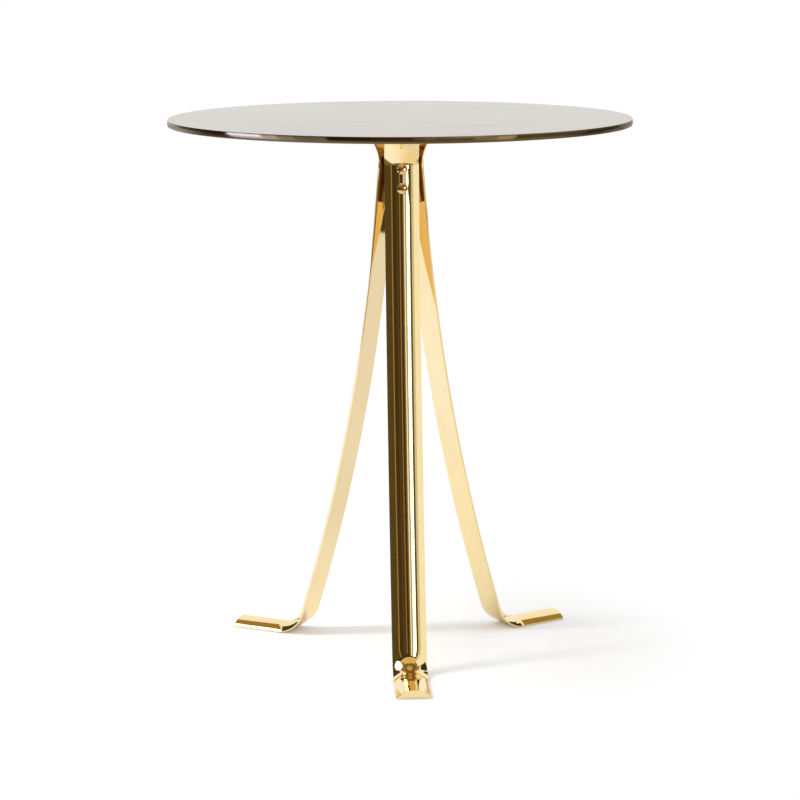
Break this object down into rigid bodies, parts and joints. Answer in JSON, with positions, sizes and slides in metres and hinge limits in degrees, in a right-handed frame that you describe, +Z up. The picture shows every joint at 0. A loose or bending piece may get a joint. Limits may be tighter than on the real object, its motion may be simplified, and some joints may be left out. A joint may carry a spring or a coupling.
{
  "type": "wine table",
  "caption": "Small round side table: thin dark bronze top on slim polished brass half-oval legs that gather at a screwed hub and splay out to flat feet.",
  "frame": {"origin": "on the floor under the middle of the round top", "axes": "+Z up out of the table surface, -Y towards the front leg, +X to the right seen from the front"},
  "size_m": [0.43, 0.43, 0.505],
  "materials": {
    "dark_bronze": "dark patinated bronze, satin, with a worn bright arris at the rim",
    "polished_brass": "solid brass polished to a mirror, unlacquered",
    "screw_brass": "turned brass, slightly duller than the bars"
  },
  "bodies": {
    "root": {"table_top": "dark_bronze", "leg_hub": "polished_brass", "leg_front": "polished_brass", "leg_rear_left": "polished_brass", "leg_rear_right": "polished_brass", "hub_screw_front_upper": "screw_brass", "hub_screw_front_lower": "screw_brass", "hub_screw_rear_left_upper": "screw_brass", "hub_screw_rear_left_lower": "screw_brass", "hub_screw_rear_right_upper": "screw_brass", "hub_screw_rear_right_lower": "screw_brass", "tab_screw_front_inner": "screw_brass", "tab_screw_front_outer": "screw_brass", "tab_screw_rear_left_inner": "screw_brass", "tab_screw_rear_left_outer": "screw_brass", "tab_screw_rear_right_inner": "screw_brass", "tab_screw_rear_right_outer": "screw_brass"}
  },
  "joints": []
}
